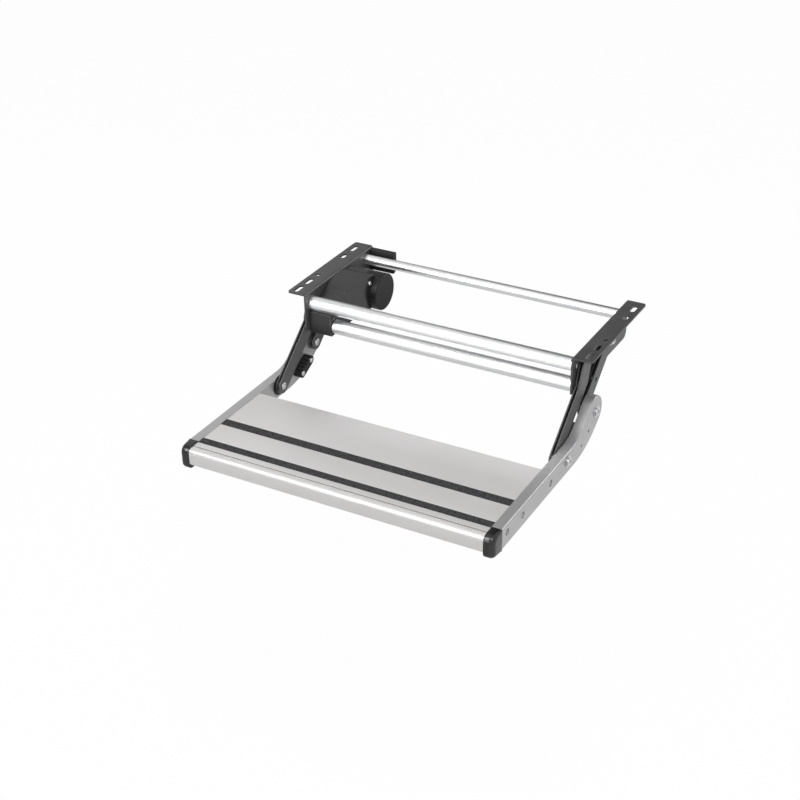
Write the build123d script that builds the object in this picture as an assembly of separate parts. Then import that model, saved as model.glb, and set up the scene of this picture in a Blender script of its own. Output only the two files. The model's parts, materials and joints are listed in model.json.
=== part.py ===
from build123d import *
import os
from math import atan2, cos, degrees, hypot, pi, radians, sin, sqrt, tan

# Electric folding entry step for a caravan, stepped out. Millimetres.
# X runs across the vehicle, -Y points out to the person stepping up, +Z is up.
# The origin lies midway between the two round fixing holes, in the plane of the flanges' top faces.

# Overall layout across the vehicle
overall_width = 550.0
side_plate_thickness = 17.5
arm_width = 8.0
arm_gap = 1.5
steel = 3.0
flange_width = 35.5

# Fits
running_clearance = 0.05
seat_clearance = 0.02
float_gap = 0.3

# Pivots, as (Y, Z)
front_pivot = (-56.0, -60.0)
arm_reach = 97.0
arm_drop = 80.0
pivot_spacing = 110.0
pivot_rise = 33.0

# Brackets
bracket_front = -80.0
bracket_length = 230.0
web_height = 67.5
flange_corner = 5.0
web_front_corner = 5.0
web_rear_corner = 12.0
web_lobe_radius = 15.0
bend_radius = 4.0
fixing_line_inset = 23.5
fixing_hole_radius = 4.25
fixing_slots = ((-62.0, 25.0), (-29.0, 23.0), (87.5, 17.0), (123.5, 23.0))

# Cross tubes
upper_tube_axis = (-60.0, -22.7)
upper_tube_radius = 12.5
rear_tube_axis = (126.5, -17.0)
rear_tube_radius = 9.0
tube_wall = 2.5
plug_length = 24.0
tube_screw_radius = 3.0
tube_screw_length = 18.0
button_head_radius = 5.5
button_head_height = 3.0
flat_head_radius = 5.4
flat_head_depth = 2.4
flat_socket_width = 3.5
button_socket_width = 4.0

# Drive tube and its shafts
drive_tube_radius = 12.5
drive_tube_left_gap = 1.0
drive_tube_right_gap = 2.0
shaft_radius = 8.0
shaft_bush_wall = 2.0
shaft_bush_flange = 1.5
shaft_bush_flange_radius = 12.5
stub_plug_length = 30.0

# Arms
arm_depth = 27.0
arm_sheet = 2.2
bush_wall = 2.0
heel_lean = 68.0
heel_length = 42.0
heel_front = 16.5
heel_rear = 18.0
heel_foot = 2.0
heel_corner = 8.0
arm_hub_radius = 12.0
arm_hole_distance = 53.0
arm_hole_radius = 3.5

# Pivot bolts
bolt_radius = 5.0
bolt_head_radius = 7.5
bolt_head_height = 3.0
bolt_socket_width = 6.0
bolt_socket_depth = 1.6
rear_head_height = 5.0
washer_radius = 10.0
washer_thickness = 1.2
inner_head_radius = 6.75
inner_head_height = 2.2
pivot_disc_radius = 18.0

# Side plates
plate_top_rise = 14.0
plate_height = 36.0
plate_reach = 235.0
plate_edge = 3.0
plate_end_radius = 26.0
plate_top_slope = 38.0
plate_top_bend = 70.0
plate_low_slope = 33.0
plate_low_bend = 150.0
plate_screw_offsets = ((-64.0, -4.0), (-164.5, -2.0), (-217.5, 0.5))
plate_screw_radius = 3.0
plate_screw_head_radius = 5.5
plate_screw_head_height = 5.0
plate_screw_recess = 2.0
plate_screw_grip = 16.0
plate_screw_socket_width = 5.0
plate_screw_socket_depth = 3.0

# Tread
tread_sink = 1.0
tread_rear_offset = -59.0
nose_reach = 27.0
nose_height = 28.5
nose_radius = 9.0
nose_low_radius = 4.0
tread_skin = 3.0
tread_wall = 2.5
screw_port_radius = 5.5
strip_rear_distances = (107.5, 89.5)
strip_front_distances = (42.0, 26.5)
strip_thickness = 1.2
strip_recess = 0.8
groove_distance = 13.5
groove_pitch = 4.0
groove_count = 2
groove_width = 1.4
groove_depth = 0.8
nose_lip = 12.0

# End caps
cap_lap_front = 1.5
cap_lap_top = 1.0
cap_lap_bottom = 2.0
cap_top_radius = 13.0
cap_low_radius = 7.0
cap_edge = 1.2
cap_tongue = (9.0, 22.0, 10.0)

# Stop blocks between the arms
stop_screw_offsets = ((-29.0, -21.0), (-56.0, -34.0))
stop_radius = 8.2
stop_length = 14.5
stop_groove_count = 5
stop_groove_width = 2.4
stop_groove_depth = 1.6
stop_screw_radius = 2.5
stop_screw_head_radius = 4.5
stop_screw_head_height = 2.0
stop_screw_grip = 10.0

# Gear case and motor
case_depth = 41.5
case_wall = 2.2
case_back = 2.5
case_front = -71.0
case_rear = 90.0
case_bottom = -75.0
case_crown = (20.0, -11.0)
case_crown_radius = 185.0
case_hump = (27.0, -1.0)
case_hump_radius = 90.0
case_corner = 6.0
tube_recess_gap = 1.0
shaft_seal_radius = 12.0
case_boss_radius = 3.5
case_screw_radius = 1.6
case_screw_head_radius = 3.3
case_screw_head_height = 2.2
case_screw_places = ((-45.0, -28.5), (-3.0, -69.0), (36.0, -67.5), (-62.0, -42.0))
shoulder_front = -40.0
shoulder_full = 24.0
shoulder_blend = 60.0
shoulder_bottom = -62.0
shoulder_depth = 19.0
shoulder_gap = 0.5
shoulder_screw_place = (30.9, -11.5)
shoulder_screw_radius = 3.8
shoulder_screw_height = 3.0
motor_axis = (61.0, -38.0)
motor_radius = 33.0
motor_length = 33.0
motor_edge = 3.0
motor_shell = 2.0
motor_pole_radius = 24.0
motor_mark = (24.0, 27.0, 1.2)
gearhead_radius = 28.0
gearhead_length = 21.0

# Gear train
gear_module = 1.5
output_teeth = 14
front_idler_teeth = 29
rear_idler_teeth = 30
pinion_teeth = 12
gear_face = 10.0
gear_stand_off = 5.0
train_angles = (20.0, 6.0, 8.0)
pressure_angle = 20.0
tooth_thinning = 0.12
root_clearance = 0.25
flank_points = 4
idler_pin_radius = 4.0
idler_rim = 3.5
idler_hub_radius = 7.5
idler_web = 4.0
pinion_shaft_radius = 4.0
pinion_bore = 2.0

# Control box
box_length = 49.5
box_base_depth = 11.5
box_rear_gap = 1.0
box_front_gap = 1.5
box_top = -3.0
box_height = 38.0
box_edge = 1.5
box_chamfer = 6.0
gland_inset = 28.5
gland_height = -24.0
gland_radius = 6.0
gland_bore = 2.5
gland_length = 8.0

# Values that follow from the sizes above
plate_outer = overall_width / 2
plate_inner = plate_outer - side_plate_thickness
arm_outer = plate_inner - arm_gap
arm_inner = arm_outer - arm_width
web_outer = arm_inner - arm_gap
web_inner = web_outer - steel
flange_outer = web_inner + flange_width
fixing_line = web_inner + fixing_line_inset
bracket_rear = bracket_front + bracket_length
arm_length = hypot(arm_reach, arm_drop)
arm_angle = degrees(atan2(-arm_drop, -arm_reach))
front_foot = (front_pivot[0] - arm_reach, front_pivot[1] - arm_drop)
rear_pivot = (front_pivot[0] + pivot_spacing, front_pivot[1] + pivot_rise)
rear_foot = (front_foot[0] + pivot_spacing, front_foot[1] + pivot_rise)
arm_end_radius = arm_depth / 2
bush_bore = bolt_radius + running_clearance
bush_radius = bush_bore + bush_wall
shaft_bush_radius = shaft_radius + running_clearance + shaft_bush_wall
plate_top = front_foot[1] + plate_top_rise
plate_bottom = plate_top - plate_height
plate_front = front_foot[0] - plate_reach
plate_screws = [(front_foot[0] + y, front_foot[1] + z) for y, z in plate_screw_offsets]
stop_screws = [(rear_foot[0] + y, rear_foot[1] + z) for y, z in stop_screw_offsets]
stop_inner = plate_inner - stop_length
tread_top = plate_top - tread_sink
tread_rear = front_foot[0] + tread_rear_offset
nose_front = plate_front - nose_reach
nose_bottom = tread_top - nose_height
strip_rear_edges = [nose_front + distance for distance in strip_rear_distances]
strip_front_edges = [nose_front + distance for distance in strip_front_distances]
groove_start = nose_front + groove_distance
cap_front = nose_front - cap_lap_front
cap_top = plate_top + cap_lap_top
cap_bottom = plate_bottom - cap_lap_bottom
case_face = case_depth - web_inner
shoulder_face = case_face + shoulder_depth
motor_end = case_face + motor_length
gearhead_face = case_face - gearhead_length
gear_left = gear_stand_off - web_inner
box_right = box_length - web_inner
box_split = box_base_depth - web_inner
box_rear = bracket_rear - box_rear_gap
gland_place = (gland_inset - web_inner, gland_height)
drive_tube_right_end = web_inner - drive_tube_right_gap
drive_tube_left_end = case_face + drive_tube_left_gap
drive_tube_bore = drive_tube_radius - tube_wall


def slab(outline, x_low, x_high):
    """Extrudes an outline drawn in (Y, Z) from x_low to x_high."""
    return extrude(Plane.YZ.offset(x_low) * outline, x_high - x_low, dir=(1, 0, 0))


def rod(place, radius, x_low, x_high):
    """A round bar along X about the point (Y, Z)."""
    return slab(Pos(*place) * Circle(radius), x_low, x_high)


def ring(place, outer, inner, x_low, x_high):
    """A round tube along X about the point (Y, Z)."""
    return slab(Pos(*place) * (Circle(outer) - Circle(inner)), x_low, x_high)


def rectangle(y_low, y_high, z_low, z_high):
    """A rectangle in (Y, Z) between the given limits."""
    middle = Pos((y_low + y_high) / 2, (z_low + z_high) / 2)
    return middle * Rectangle(y_high - y_low, z_high - z_low)


def round_corner(outline, place, radius):
    """Rounds the corner of an outline that lies nearest to a place."""
    corner = sorted(outline.vertices(), key=lambda v: hypot(v.X - place[0], v.Y - place[1]))[0]
    return fillet(corner, radius)


def bar(start, end, radius):
    """An obround outline whose ends are centred on two points."""
    length = hypot(end[0] - start[0], end[1] - start[1])
    turn = degrees(atan2(end[1] - start[1], end[0] - start[0]))
    middle = Pos((start[0] + end[0]) / 2, (start[1] + end[1]) / 2)
    return middle * Rot(0, 0, turn) * SlotCenterToCenter(length, 2 * radius)


def along_arm(pivot, distance, across=0.0):
    """The place at a distance down an arm, and across towards its open upper front."""
    turn = radians(arm_angle)
    return (pivot[0] + distance * cos(turn) + across * sin(turn),
            pivot[1] + distance * sin(turn) - across * cos(turn))


def save(name, shape):
    """Writes one piece to its own file."""
    export_step(shape, f"parts/{name}.step")


def save_pair(name, right):
    """Writes a right-hand piece and its mirror image on the left."""
    save(f"{name}_right", right)
    save(f"{name}_left", mirror(right, about=Plane.YZ))


def save_both(name, right):
    """Writes right-hand pieces and their mirror images to one file."""
    save(name, Compound(children=right + [mirror(piece, about=Plane.YZ) for piece in right]))


# Brackets: a folded sheet with a slotted flange outside and a web that carries the pivots

def make_bracket():
    flange_middle = (web_inner + flange_outer) / 2
    flange_outline = Rectangle(flange_width, bracket_length)
    flange = extrude(Pos(flange_middle, bracket_front + bracket_length / 2) * flange_outline, -steel)
    outer_edges = flange.edges().filter_by(Axis.Z).sort_by(Axis.X)[-2:]
    flange = fillet(outer_edges, flange_corner)
    for slot_middle, slot_length in fixing_slots:
        slot = SlotOverall(slot_length, 2 * fixing_hole_radius, rotation=90)
        flange -= extrude(Pos(fixing_line, slot_middle) * slot, -steel)
    flange -= extrude(Pos(fixing_line, 0) * Circle(fixing_hole_radius), -steel)
    web = rectangle(bracket_front, bracket_rear, -web_height, 0)
    web = round_corner(web, (bracket_front, -web_height), web_front_corner)
    web = round_corner(web, (bracket_rear, -web_height), web_rear_corner)
    web += Pos(*front_pivot) * Circle(web_lobe_radius)
    web -= Pos(*front_pivot) * Circle(shaft_bush_radius + seat_clearance)
    web -= Pos(*rear_pivot) * Circle(bolt_radius + seat_clearance)
    for place in (upper_tube_axis, rear_tube_axis):
        web -= Pos(*place) * Circle(tube_screw_radius + seat_clearance)
    bracket = flange + slab(web, web_inner, web_outer)
    bracket -= flat_head(upper_tube_axis, web_outer, seat_clearance)
    bend = bracket.edges().filter_by(Axis.Y).group_by(Axis.Z)[-1].sort_by(Axis.X)[0]
    return fillet(bend, bend_radius)


def flat_head(place, x_face, extra=0.0):
    """The cone of a flat screw head that lies flush with a face."""
    wide = Plane.YZ.offset(x_face) * Pos(*place) * Circle(flat_head_radius + extra)
    narrow = Plane.YZ.offset(x_face - flat_head_depth) * Pos(*place) * Circle(tube_screw_radius + extra)
    return loft([wide.face(), narrow.face()])


# Cross tubes, the plugs in their ends and the screws through the webs

def make_cross_tube(axis, radius):
    return ring(axis, radius, radius - tube_wall, -web_inner, web_inner)


def make_plug(axis, radius):
    plug = rod(axis, radius - tube_wall - seat_clearance, web_inner - plug_length, web_inner)
    return plug - rod(axis, tube_screw_radius + seat_clearance, web_outer - tube_screw_length, web_inner)


def socket(place, x_face, width, depth, direction):
    """A hexagon socket sunk into a screw head, towards -X or +X."""
    hexagon = Pos(*place) * RegularPolygon(width / 2, 6, major_radius=False)
    low, high = sorted((x_face, x_face + direction * depth))
    return slab(hexagon, low, high)


def make_front_screw():
    screw = rod(upper_tube_axis, tube_screw_radius, web_outer - tube_screw_length, web_outer)
    screw += flat_head(upper_tube_axis, web_outer)
    return screw - socket(upper_tube_axis, web_outer, flat_socket_width, bolt_socket_depth, -1)


def make_rear_screw():
    head_face = web_outer + button_head_height
    screw = rod(rear_tube_axis, tube_screw_radius, web_outer - tube_screw_length, web_outer)
    head = rod(rear_tube_axis, button_head_radius, web_outer, head_face)
    head = fillet(head.edges().sort_by(Axis.X)[-1], button_head_height / 2)
    return screw + head - socket(rear_tube_axis, head_face, button_socket_width, bolt_socket_depth, -1)


def make_shaft_bush():
    flange_face = web_inner - shaft_bush_flange
    bore = shaft_radius + running_clearance
    bush = ring(front_pivot, shaft_bush_radius, bore, flange_face, web_outer)
    return bush + ring(front_pivot, shaft_bush_flange_radius, bore, flange_face, web_inner)


# Upper pivots of the rear arms

rear_washer_face = arm_outer + float_gap + washer_thickness


def make_rear_pivot_stud():
    bolt = rod(rear_pivot, bolt_radius, web_inner, rear_washer_face)
    head_face = rear_washer_face + rear_head_height
    head = rod(rear_pivot, bolt_head_radius, rear_washer_face, head_face)
    head = fillet(head.edges().sort_by(Axis.X)[-1], bolt_socket_depth)
    return bolt + head - socket(rear_pivot, head_face, bolt_socket_width, bolt_socket_depth, -1)


def make_rear_pivot_washer():
    face = arm_outer + float_gap
    return ring(rear_pivot, washer_radius, bolt_radius + seat_clearance, face, rear_washer_face)


# Drive tube with a stub shaft in each end

def make_drive_tube():
    return ring(front_pivot, drive_tube_radius, drive_tube_bore, drive_tube_left_end, drive_tube_right_end)


def make_stub_right():
    plug_radius = drive_tube_bore - seat_clearance
    plug = rod(front_pivot, plug_radius, drive_tube_right_end - stub_plug_length, drive_tube_right_end)
    return plug + rod(front_pivot, shaft_radius, drive_tube_right_end, arm_outer)


def make_stub_left():
    plug_radius = drive_tube_bore - seat_clearance
    plug = rod(front_pivot, plug_radius, drive_tube_left_end, drive_tube_left_end + stub_plug_length)
    return plug + rod(front_pivot, shaft_radius, -arm_outer, drive_tube_left_end)


# Arms: pressed channels, open along their upper front edge

def channel_hollow(pivot):
    """The inside of an arm's channel, running out through its open edge."""
    inner = arm_end_radius - arm_sheet
    outline = bar(pivot, along_arm(pivot, arm_length), inner)
    open_side = Polygon(along_arm(pivot, -inner), along_arm(pivot, -inner, arm_depth),
                        along_arm(pivot, arm_length + inner, arm_depth),
                        along_arm(pivot, arm_length + inner), align=None)
    return slab(outline + open_side, arm_inner + arm_sheet, arm_outer - arm_sheet)


def make_rear_arm():
    arm = slab(bar(rear_pivot, rear_foot, arm_end_radius), arm_inner, arm_outer)
    arm -= channel_hollow(rear_pivot)
    for place in (rear_pivot, rear_foot):
        arm -= rod(place, bush_radius + seat_clearance, arm_inner, arm_outer)
    hole = along_arm(rear_foot, -arm_hole_distance)
    return arm - rod(hole, arm_hole_radius, arm_inner, arm_outer)


def heel_outline(inset=0.0):
    """The lug above the front pivot, in (Y, Z), drawn smaller by an inset."""
    height = heel_length + heel_foot - 2 * inset
    width = heel_front + heel_rear - 2 * inset
    middle = Pos((heel_rear - heel_front) / 2, (heel_length - heel_foot) / 2)
    lug = middle * RectangleRounded(width, height, heel_corner - inset)
    return Pos(*front_pivot) * Rot(0, 0, heel_lean - 90) * lug


def make_front_arm():
    outline = bar(front_pivot, front_foot, arm_end_radius) + heel_outline()
    arm = slab(outline, arm_inner, arm_outer)
    front_side = Pos(*front_pivot) * Rot(0, 0, heel_lean - 90) * rectangle(
        -2 * heel_front, 0, -heel_foot, heel_length - arm_sheet)
    heel_hollow = slab(heel_outline(arm_sheet) + front_side, arm_inner + arm_sheet, arm_outer - arm_sheet)
    hollow = channel_hollow(front_pivot) + heel_hollow
    arm -= hollow - rod(front_pivot, arm_hub_radius, arm_inner, arm_outer)
    arm -= rod(front_pivot, shaft_radius + seat_clearance, arm_inner, arm_outer)
    return arm - rod(front_foot, bush_radius + seat_clearance, arm_inner, arm_outer)


def make_arm_bush(place, x_low):
    return ring(place, bush_radius, bush_bore, x_low, arm_outer)


# Lower pivots: a bolt with a round inner head, a washer and an outer head

def make_foot_bolt(place):
    inner_face = arm_inner - float_gap
    washer_face = plate_outer + washer_thickness
    head_face = washer_face + bolt_head_height
    inner_head = rod(place, inner_head_radius, inner_face - inner_head_height, inner_face)
    inner_head = fillet(inner_head.edges().sort_by(Axis.X)[0], inner_head_height / 2)
    head = rod(place, bolt_head_radius, washer_face, head_face)
    head = fillet(head.edges().sort_by(Axis.X)[-1], bolt_head_height / 2)
    bolt = rod(place, bolt_radius, inner_face, washer_face) + inner_head + head
    return bolt - socket(place, head_face, bolt_socket_width, bolt_socket_depth, -1)


def make_foot_washer(place):
    bore = bolt_radius + seat_clearance
    return ring(place, washer_radius, bore, plate_outer, plate_outer + washer_thickness)


def make_pivot_disc():
    bore = bolt_radius + seat_clearance
    return ring(front_foot, pivot_disc_radius, bore, arm_outer + float_gap, plate_inner)


# Side plates: flat bars that rise to a round end at the rear pivots

def side_plate_outline():
    top_turn = radians(plate_top_slope)
    low_turn = radians(plate_low_slope)
    top_touch = (rear_foot[0] - plate_end_radius * sin(top_turn),
                 rear_foot[1] + plate_end_radius * cos(top_turn))
    low_touch = (rear_foot[0] + plate_end_radius * sin(low_turn),
                 rear_foot[1] - plate_end_radius * cos(low_turn))
    top_bend = (top_touch[0] - (top_touch[1] - plate_top) / tan(top_turn), plate_top)
    low_bend = (low_touch[0] - (low_touch[1] - plate_bottom) / tan(low_turn), plate_bottom)
    outline = Polygon((plate_front, plate_bottom), low_bend, low_touch, rear_foot, top_touch, top_bend,
                      (plate_front, plate_top), align=None)
    outline = round_corner(outline, top_bend, plate_top_bend)
    outline = round_corner(outline, low_bend, plate_low_bend)
    return outline + Pos(*rear_foot) * Circle(plate_end_radius)


def tongue(clearance):
    """The tongue of an end cap, or with a clearance its slot in the side plate."""
    width, height, depth = cap_tongue
    middle = Pos((plate_inner + plate_outer) / 2, plate_front + depth / 2, (plate_top + plate_bottom) / 2)
    return middle * Box(width + 2 * clearance, depth + 2 * clearance, height + 2 * clearance)


def make_side_plate():
    plate = slab(side_plate_outline(), plate_inner, plate_outer)
    outer_rim = plate.faces().sort_by(Axis.X)[-1].edges().sort_by(Axis.Y)[1:]
    plate = fillet(outer_rim, plate_edge)
    plate -= rod(front_foot, bolt_radius + seat_clearance, plate_inner, plate_outer)
    plate -= rod(rear_foot, bolt_radius + seat_clearance, plate_inner, plate_outer)
    recess_floor = plate_outer - plate_screw_recess - plate_screw_head_height
    for place in plate_screws:
        plate -= rod(place, plate_screw_radius + seat_clearance, plate_inner, plate_outer)
        plate -= rod(place, plate_screw_head_radius + seat_clearance, recess_floor, plate_outer)
    for place in stop_screws:
        plate -= rod(place, stop_screw_radius + seat_clearance, plate_inner, plate_outer)
    return plate - tongue(seat_clearance)


def make_plate_screw(place):
    head_face = plate_outer - plate_screw_recess
    head = rod(place, plate_screw_head_radius, head_face - plate_screw_head_height, head_face)
    head -= socket(place, head_face, plate_screw_socket_width, plate_screw_socket_depth, -1)
    shank_end = plate_inner - plate_screw_grip
    return head + rod(place, plate_screw_radius, shank_end, head_face - plate_screw_head_height)


# End caps over the front ends of the side plates

def nose_outline(inset=0.0):
    """The outer shape of the tread's nose and top, drawn smaller by an inset."""
    outline = rectangle(nose_front + inset, tread_rear - inset, nose_bottom + inset, tread_top - inset)
    outline = round_corner(outline, (nose_front, tread_top), nose_radius - inset)
    return round_corner(outline, (nose_front, nose_bottom), nose_low_radius - inset)


def make_end_cap():
    outline = rectangle(cap_front, plate_front, cap_bottom, cap_top)
    outline = round_corner(outline, (cap_front, cap_top), cap_top_radius)
    outline = round_corner(outline, (cap_front, cap_bottom), cap_low_radius)
    cap = slab(outline, plate_inner, plate_outer)
    outer_rim = cap.faces().sort_by(Axis.X)[-1].edges().sort_by(Axis.Y)[:-1]
    return fillet(outer_rim, cap_edge) + tongue(0)


# Tread: one extrusion with a grooved nose, walls below and ports for the screws

def make_tread():
    profile = nose_outline() - nose_outline(tread_skin)
    below = rectangle(nose_front + nose_lip, tread_rear, nose_bottom, tread_top - tread_skin)
    profile -= below
    for place in plate_screws:
        wall = rectangle(place[0] - tread_wall / 2, place[0] + tread_wall / 2, nose_bottom, tread_top)
        profile += wall
        profile += Pos(*place) * Circle(screw_port_radius)
    profile += rectangle(tread_rear - tread_wall, tread_rear, plate_screws[0][1], tread_top)
    for place in plate_screws:
        profile -= Pos(*place) * Circle(plate_screw_radius + seat_clearance)
    for edges in (strip_rear_edges, strip_front_edges):
        profile -= rectangle(edges[1], edges[0], tread_top - strip_recess, tread_top)
    for number in range(groove_count):
        middle = groove_start - number * groove_pitch
        profile -= rectangle(middle - groove_width / 2, middle + groove_width / 2,
                             tread_top - groove_depth, tread_top)
    return slab(profile, -plate_inner, plate_inner)


def make_strip(edges):
    floor = tread_top - strip_recess
    outline = rectangle(edges[1], edges[0], floor, floor + strip_thickness)
    return slab(outline, -plate_inner, plate_inner)


# Stop blocks on the inner faces of the side plates

def make_stop_block():
    block = slab(bar(stop_screws[0], stop_screws[1], stop_radius), stop_inner, plate_inner)
    lean = atan2(stop_screws[0][1] - stop_screws[1][1], stop_screws[0][0] - stop_screws[1][0])
    length = hypot(stop_screws[0][1] - stop_screws[1][1], stop_screws[0][0] - stop_screws[1][0])
    pitch = length / (stop_groove_count - 1)
    for number in range(stop_groove_count):
        distance = number * pitch
        across = stop_radius - stop_groove_depth / 2
        place = (stop_screws[1][0] + distance * cos(lean) - across * sin(lean),
                 stop_screws[1][1] + distance * sin(lean) + across * cos(lean))
        groove = Pos(*place) * Rot(0, 0, degrees(lean)) * Rectangle(stop_groove_width, 2 * stop_groove_depth)
        block -= slab(groove, stop_inner, plate_inner)
    for place in stop_screws:
        block -= rod(place, stop_screw_radius + seat_clearance, stop_inner, plate_inner)
    return block


def make_stop_screw(place):
    head = rod(place, stop_screw_head_radius, stop_inner - stop_screw_head_height, stop_inner)
    head = fillet(head.edges().sort_by(Axis.X)[0], stop_screw_head_height / 2)
    return head + rod(place, stop_screw_radius, stop_inner, plate_inner + stop_screw_grip)


# Gear train: output gear on the stub shaft, two idlers and the motor's pinion

def pitch_radius(teeth):
    return gear_module * teeth / 2


def step_to(place, distance, turn):
    return (place[0] + distance * cos(radians(turn)), place[1] + distance * sin(radians(turn)))


train_teeth = (output_teeth, front_idler_teeth, rear_idler_teeth, pinion_teeth)
train_places = [front_pivot]
train_phases = [90.0]
for stage, turn in enumerate(train_angles):
    this, following = train_teeth[stage], train_teeth[stage + 1]
    train_places.append(step_to(train_places[-1], pitch_radius(this) + pitch_radius(following), turn))
    train_phases.append(turn + 180 + 180 / following - this / following * (train_phases[-1] - turn))


def gear_outline(teeth, phase):
    """An involute gear's outline about the origin, with a tooth's middle at the angle phase."""
    pitch = pitch_radius(teeth)
    base = pitch * cos(radians(pressure_angle))
    tip = pitch + gear_module
    root = pitch - gear_module - root_clearance
    lowest = max(base, root)
    half_tooth = (pi * gear_module / 2 - tooth_thinning) / 2 / pitch
    pitch_roll = sqrt((pitch / base) ** 2 - 1)
    pitch_turn = pitch_roll - atan2(pitch_roll, 1)
    flank = []
    for number in range(flank_points):
        radius = lowest + (tip - lowest) * number / (flank_points - 1)
        roll = sqrt(max((radius / base) ** 2 - 1, 0))
        flank.append((radius, half_tooth + pitch_turn - (roll - atan2(roll, 1))))
    points = []
    for number in range(teeth):
        middle = radians(phase) + 2 * pi * number / teeth
        tooth = [(root, -flank[0][1])] + [(radius, -turn) for radius, turn in flank]
        tooth += [(radius, turn) for radius, turn in reversed(flank)] + [(root, flank[0][1])]
        if root >= base:
            tooth = tooth[1:-1]
        points += [(radius * cos(middle + turn), radius * sin(middle + turn)) for radius, turn in tooth]
    return Polygon(*points, align=None)


def make_gear(stage, bore):
    outline = Pos(*train_places[stage]) * gear_outline(train_teeth[stage], train_phases[stage])
    gear = slab(outline, gear_left, gear_left + gear_face)
    return gear - rod(train_places[stage], bore, gear_left, gear_left + gear_face)


def make_idler(stage):
    """An idler whose web between rim and hub is thinner than its teeth."""
    gear = make_gear(stage, idler_pin_radius + running_clearance)
    rim = pitch_radius(train_teeth[stage]) - gear_module - root_clearance - idler_rim
    recess = (gear_face - idler_web) / 2
    gear -= ring(train_places[stage], rim, idler_hub_radius, gear_left, gear_left + recess)
    right = gear_left + gear_face
    return gear - ring(train_places[stage], rim, idler_hub_radius, right - recess, right)


def make_idler_pin(stage):
    place = train_places[stage]
    pin = rod(place, idler_pin_radius, back_plate_face, case_face - case_wall)
    collar_left = gear_left + gear_face + float_gap
    return pin + rod(place, idler_hub_radius, collar_left, case_face - case_wall)


def make_pinion():
    place = train_places[3]
    shaft = rod(place, pinion_shaft_radius, back_plate_face + float_gap, gearhead_face)
    return make_gear(3, pinion_bore) + shaft


# Gear case: a cast shell with an arched top on a flat back plate against the left web

back_plate_face = -web_inner + case_back


def under_arc(crown, radius):
    """The case's rectangle below an arc with its crown at a place."""
    body = rectangle(case_front, case_rear, case_bottom, crown[1])
    return body & (Pos(crown[0], crown[1] - radius) * Circle(radius))


def arch_outline():
    """The arched part of the case: a wide arc with a higher hump over the rear idler and the motor."""
    body = under_arc(case_crown, case_crown_radius) + under_arc(case_hump, case_hump_radius)
    return round_corner(body, (case_front, case_bottom), case_corner)


def case_outline(inset=0.0):
    body = arch_outline() + Pos(*motor_axis) * Circle(motor_radius)
    body -= Pos(*upper_tube_axis) * Circle(upper_tube_radius + tube_recess_gap)
    if inset:
        body = offset(body, -inset)
    return body


def make_case_cover():
    cover = slab(case_outline(), back_plate_face, case_face)
    cover -= slab(case_outline(case_wall), back_plate_face, case_face - case_wall)
    for place in case_screw_places:
        post = rod(place, case_boss_radius, back_plate_face, case_face)
        cover += post & slab(case_outline(), back_plate_face, case_face)
    cover += make_motor_shoulder()
    for place in case_screw_places:
        cover -= rod(place, case_screw_radius, back_plate_face, case_face)
    cover -= rod(front_pivot, shaft_seal_radius + seat_clearance, case_face - case_wall, case_face)
    return cover - rod(motor_axis, gearhead_radius + seat_clearance, gearhead_face, case_face)


def make_motor_shoulder():
    """The thick shoulder in front of the motor can: its side face slopes out from the case's face."""
    outline = arch_outline() & rectangle(shoulder_front, motor_axis[0], shoulder_bottom, case_hump[1])
    outline -= Pos(*motor_axis) * Circle(motor_radius + shoulder_gap)
    plan = Polygon((case_face, shoulder_front), (shoulder_face, shoulder_full),
                   (shoulder_face, motor_axis[0]), (case_face, motor_axis[0]), align=None)
    plan = round_corner(plan, (shoulder_face, shoulder_full), shoulder_blend)
    return slab(outline, case_face, shoulder_face) & extrude(plan, case_bottom)


def make_case_back():
    back = slab(case_outline(), -web_inner, back_plate_face)
    back -= rod(front_pivot, shaft_bush_flange_radius + float_gap, -web_inner, back_plate_face)
    return back


def make_case_screw(place):
    head_face = case_face + case_screw_head_height
    screw = rod(place, case_screw_radius - seat_clearance, back_plate_face, case_face)
    head = rod(place, case_screw_head_radius, case_face, head_face)
    return screw + fillet(head.edges().sort_by(Axis.X)[-1], case_screw_head_height / 2)


def make_shoulder_screw():
    head_face = shoulder_face + shoulder_screw_height
    head = rod(shoulder_screw_place, shoulder_screw_radius, shoulder_face, head_face)
    head = fillet(head.edges().sort_by(Axis.X)[-1], shoulder_screw_height / 3)
    return head - socket(shoulder_screw_place, head_face, flat_socket_width, bolt_socket_depth, -1)


def make_shaft_seal():
    bore = shaft_radius + running_clearance
    return ring(front_pivot, shaft_seal_radius, bore, case_face - case_wall, case_face)


def make_motor_can():
    can = rod(motor_axis, motor_radius, case_face, motor_end)
    can = fillet(can.edges().sort_by(Axis.X)[-1], motor_edge)
    can -= rod(motor_axis, motor_radius - motor_shell, case_face, motor_end - motor_shell)
    inner, outer, depth = motor_mark
    return can - ring(motor_axis, outer, inner, motor_end - depth, motor_end)


def make_motor_core():
    return rod(motor_axis, motor_pole_radius, case_face, motor_end - motor_shell - motor_mark[2])


def make_gearhead():
    return rod(motor_axis, gearhead_radius, gearhead_face, case_face)


# Control box behind the rear tube, and its cable gland

def box_outline():
    front = rear_tube_axis[0] + rear_tube_radius + box_front_gap
    box_bottom = box_top - box_height
    outline = rectangle(front, box_rear, box_bottom, box_top)
    corner = sorted(outline.vertices(), key=lambda v: hypot(v.X - box_rear, v.Y - box_bottom))[0]
    return chamfer(corner, box_chamfer)


def make_control_box():
    box = slab(box_outline(), box_split, box_right)
    return fillet(box.faces().sort_by(Axis.X)[-1].edges(), box_edge)


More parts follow.
